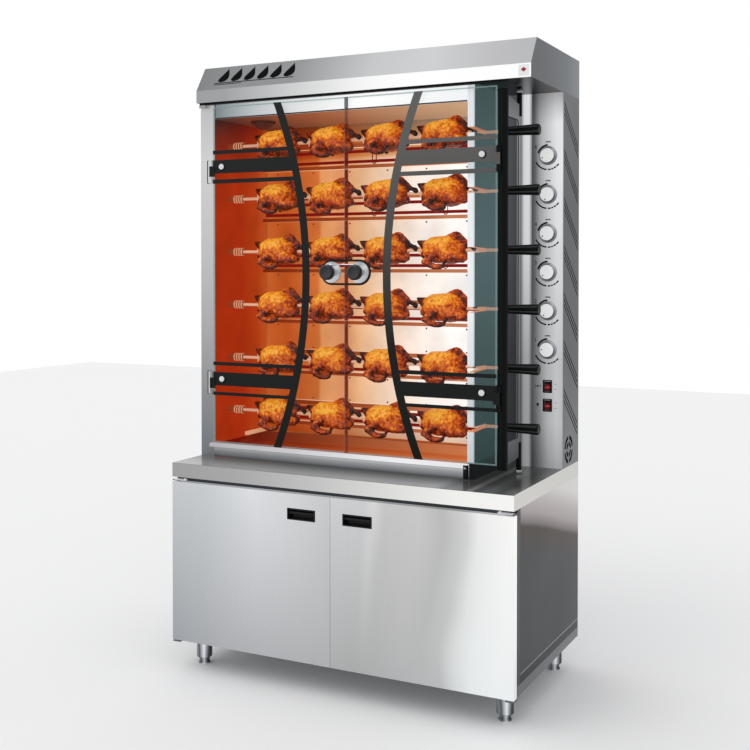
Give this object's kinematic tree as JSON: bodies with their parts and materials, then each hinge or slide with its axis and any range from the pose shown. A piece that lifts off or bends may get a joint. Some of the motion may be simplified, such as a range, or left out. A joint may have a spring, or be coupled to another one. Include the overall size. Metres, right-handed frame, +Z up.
{
  "type": "rotisserie oven",
  "caption": "Floor-standing gas rotisserie oven with horizontal spits behind twin glass doors, a right-hand control tower and a cabinet below.",
  "frame": {"origin": "on the floor, under the middle of the oven's width and depth", "axes": "+Z up, +X to the right as seen by the cook, front faces -Y"},
  "size_m": [1.2, 0.64, 2.03],
  "materials": {
    "brushed_steel": "brushed stainless sheet, vertical grain",
    "side_steel": "darker satin stainless side and back sheets",
    "worktop_steel": "polished stainless worktop",
    "dark_steel": "dark satin frame",
    "hot_enamel": "heat-tinted enamelled sheet, orange to cream",
    "burner_steel": "glowing dark-red burner tube",
    "door_glass": "clear toughened glass with a slight green tint",
    "lamp_glass": "frosted lamp cover",
    "black_paint": "satin black paint",
    "black_plastic": "glossy black phenolic",
    "pull_knob_finish": "grey anodised knob on a bright round plate",
    "knob_finish": "white-silver knob face on a satin skirt",
    "red_plastic": "red rocker",
    "spit_steel": "bright stainless spit and socket",
    "cast_parts": "oiled steel drive parts",
    "foot_steel": "zinc-plated levelling foot"
  },
  "bodies": {
    "frame": {"cabinet_base": "dark_steel", "cabinet_frame": "dark_steel", "cabinet_shell": "side_steel", "worktop": "worktop_steel", "left_casing": "brushed_steel", "left_wall": "hot_enamel", "right_wall": "brushed_steel", "heat_wall": "hot_enamel", "ceiling": "brushed_steel", "rear_cover": "side_steel", "tower_casing": "brushed_steel", "tower_strip": "brushed_steel", "hood": "brushed_steel", "oven_lamp": "lamp_glass", "burner_bank": "burner_steel", "gear_motor": "cast_parts", "drive_chain": "cast_parts"},
    "foot_front_left": {"foot_front_left": "foot_steel"},
    "foot_front_right": {"foot_front_right": "foot_steel"},
    "foot_rear_left": {"foot_rear_left": "foot_steel"},
    "foot_rear_right": {"foot_rear_right": "foot_steel"},
    "cabinet_left_door": {"cabinet_door_left": "brushed_steel", "recessed_pull_left": "black_plastic"},
    "cabinet_right_door": {"cabinet_door_right": "brushed_steel", "recessed_pull_right": "black_plastic"},
    "drip_drawer": {"drip_drawer": "brushed_steel"},
    "left_glass_door": {"glass_pane_left": "door_glass", "door_straps_left": "black_paint", "pull_knob_left": "pull_knob_finish"},
    "side_frame": {"side_frame": "black_paint"},
    "right_glass_door": {"glass_pane_right": "door_glass", "door_straps_right": "black_paint", "pull_knob_right": "pull_knob_finish"},
    "control_knob_1": {"control_knob_1": "knob_finish"},
    "control_knob_2": {"control_knob_2": "knob_finish"},
    "control_knob_3": {"control_knob_3": "knob_finish"},
    "control_knob_4": {"control_knob_4": "knob_finish"},
    "control_knob_5": {"control_knob_5": "knob_finish"},
    "control_knob_6": {"control_knob_6": "knob_finish"},
    "rocker_switch_1": {"rocker_switch_1": "red_plastic"},
    "rocker_switch_2": {"rocker_switch_2": "red_plastic"},
    "spit_1": {"spit_driver_1": "spit_steel", "spit_1": "spit_steel", "spit_handle_1": "black_plastic"},
    "spit_2": {"spit_driver_2": "spit_steel", "spit_2": "spit_steel", "spit_handle_2": "black_plastic"},
    "spit_3": {"spit_driver_3": "spit_steel", "spit_3": "spit_steel", "spit_handle_3": "black_plastic"},
    "spit_4": {"spit_driver_4": "spit_steel", "spit_4": "spit_steel", "spit_handle_4": "black_plastic"},
    "spit_5": {"spit_driver_5": "spit_steel", "spit_5": "spit_steel", "spit_handle_5": "black_plastic"},
    "spit_6": {"spit_driver_6": "spit_steel", "spit_6": "spit_steel", "spit_handle_6": "black_plastic"},
    "motor_sprocket": {"motor_sprocket": "cast_parts"}
  },
  "joints": [
    {"name": "foot_front_left_turn", "type": "hinge", "parent": "frame", "child": "foot_front_left", "pos_m": [-0.539, -0.224, 0.02], "axis": [0, 0, 1], "continuous": true},
    {"name": "foot_front_right_turn", "type": "hinge", "parent": "frame", "child": "foot_front_right", "pos_m": [0.539, -0.224, 0.02], "axis": [0, 0, 1], "continuous": true},
    {"name": "foot_rear_left_turn", "type": "hinge", "parent": "frame", "child": "foot_rear_left", "pos_m": [-0.539, 0.25, 0.02], "axis": [0, 0, 1], "continuous": true},
    {"name": "foot_rear_right_turn", "type": "hinge", "parent": "frame", "child": "foot_rear_right", "pos_m": [0.539, 0.25, 0.02], "axis": [0, 0, 1], "continuous": true},
    {"name": "cabinet_left_door_hinge", "type": "hinge", "parent": "frame", "child": "cabinet_left_door", "pos_m": [-0.59, -0.31, 0.363], "axis": [0, 0, -1], "range_deg": [0, 100]},
    {"name": "cabinet_right_door_hinge", "type": "hinge", "parent": "frame", "child": "cabinet_right_door", "pos_m": [0.59, -0.31, 0.363], "axis": [0, 0, 1], "range_deg": [0, 100]},
    {"name": "drip_drawer_slide", "type": "slide", "parent": "frame", "child": "drip_drawer", "axis": [0, -1, 0], "range_m": [0, 0.3]},
    {"name": "left_glass_door_hinge", "type": "hinge", "parent": "frame", "child": "left_glass_door", "pos_m": [-0.548, -0.168, 1.315], "axis": [0, 0, -1], "range_deg": [0, 120]},
    {"name": "side_frame_hinge", "type": "hinge", "parent": "frame", "child": "side_frame", "pos_m": [0.5, 0.005, 1.3], "axis": [0, 0, 1], "range_deg": [0, 90]},
    {"name": "right_glass_door_hinge", "type": "hinge", "parent": "side_frame", "child": "right_glass_door", "pos_m": [0.495, -0.172, 1.315], "axis": [0, 0, 1], "range_deg": [0, 110]},
    {"name": "control_knob_1_turn", "type": "hinge", "parent": "frame", "child": "control_knob_1", "pos_m": [0.549, 0.144, 1.702], "axis": [0, -1, 0], "range_deg": [-240, 0]},
    {"name": "control_knob_2_turn", "type": "hinge", "parent": "frame", "child": "control_knob_2", "pos_m": [0.549, 0.144, 1.5766], "axis": [0, -1, 0], "range_deg": [-240, 0]},
    {"name": "control_knob_3_turn", "type": "hinge", "parent": "frame", "child": "control_knob_3", "pos_m": [0.549, 0.144, 1.4512], "axis": [0, -1, 0], "range_deg": [-240, 0]},
    {"name": "control_knob_4_turn", "type": "hinge", "parent": "frame", "child": "control_knob_4", "pos_m": [0.549, 0.144, 1.3258], "axis": [0, -1, 0], "range_deg": [-240, 0]},
    {"name": "control_knob_5_turn", "type": "hinge", "parent": "frame", "child": "control_knob_5", "pos_m": [0.549, 0.144, 1.2004], "axis": [0, -1, 0], "range_deg": [-240, 0]},
    {"name": "control_knob_6_turn", "type": "hinge", "parent": "frame", "child": "control_knob_6", "pos_m": [0.549, 0.144, 1.075], "axis": [0, -1, 0], "range_deg": [-240, 0]},
    {"name": "rocker_switch_1_rock", "type": "hinge", "parent": "frame", "child": "rocker_switch_1", "pos_m": [0.549, 0.148, 0.954], "axis": [1, 0, 0], "range_deg": [0, 24]},
    {"name": "rocker_switch_2_rock", "type": "hinge", "parent": "frame", "child": "rocker_switch_2", "pos_m": [0.549, 0.148, 0.893], "axis": [1, 0, 0], "range_deg": [0, 24]},
    {"name": "spit_1_turn", "type": "hinge", "parent": "frame", "child": "spit_1", "pos_m": [0, -0.065, 0.845], "axis": [1, 0, 0], "continuous": true},
    {"name": "spit_2_turn", "type": "hinge", "parent": "frame", "child": "spit_2", "pos_m": [0, -0.065, 1.02833], "axis": [1, 0, 0], "continuous": true},
    {"name": "spit_3_turn", "type": "hinge", "parent": "frame", "child": "spit_3", "pos_m": [0, -0.065, 1.21167], "axis": [1, 0, 0], "continuous": true},
    {"name": "spit_4_turn", "type": "hinge", "parent": "frame", "child": "spit_4", "pos_m": [0, -0.065, 1.395], "axis": [1, 0, 0], "continuous": true},
    {"name": "spit_5_turn", "type": "hinge", "parent": "frame", "child": "spit_5", "pos_m": [0, -0.065, 1.57833], "axis": [1, 0, 0], "continuous": true},
    {"name": "spit_6_turn", "type": "hinge", "parent": "frame", "child": "spit_6", "pos_m": [0, -0.065, 1.76167], "axis": [1, 0, 0], "continuous": true},
    {"name": "motor_turn", "type": "hinge", "parent": "frame", "child": "motor_sprocket", "pos_m": [-0.55, -0.065, 1.945], "axis": [1, 0, 0], "continuous": true}
  ],
  "couplings": [
    {"joint": "spit_2_turn", "follows": "spit_1_turn", "ratio": 1},
    {"joint": "spit_3_turn", "follows": "spit_1_turn", "ratio": 1},
    {"joint": "spit_4_turn", "follows": "spit_1_turn", "ratio": 1},
    {"joint": "spit_5_turn", "follows": "spit_1_turn", "ratio": 1},
    {"joint": "spit_6_turn", "follows": "spit_1_turn", "ratio": 1},
    {"joint": "motor_turn", "follows": "spit_1_turn", "ratio": 1}
  ]
}
